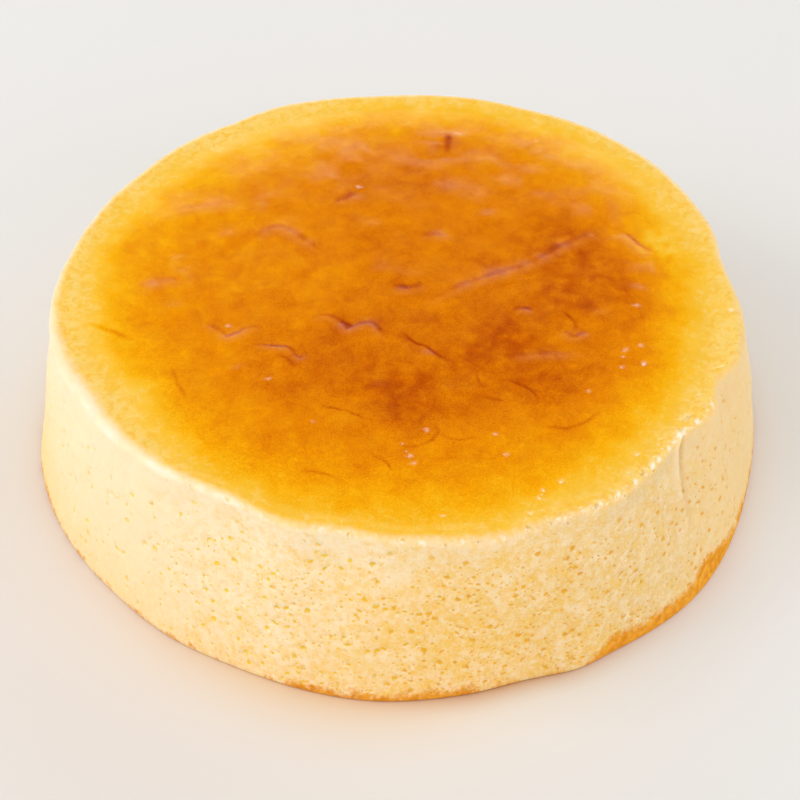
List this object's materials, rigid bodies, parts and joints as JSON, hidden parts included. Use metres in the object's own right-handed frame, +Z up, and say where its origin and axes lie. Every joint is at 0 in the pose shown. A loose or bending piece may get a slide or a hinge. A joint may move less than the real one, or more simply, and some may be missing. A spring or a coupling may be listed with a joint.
{
  "type": "jiggly cheesecake",
  "caption": "Whole round soft-baked cheesecake with a browned, glazed top and a pale porous side, to serve or display.",
  "frame": {"origin": "middle of the flat base, where the cake rests", "axes": "+Z up through the cake; +X is its right and -Y its front, as seen from the side with the finest pores"},
  "size_m": [0.1998, 0.202, 0.0509],
  "materials": {
    "baked_cake": null
  },
  "bodies": {
    "root": {"cake": "baked_cake"}
  },
  "joints": []
}
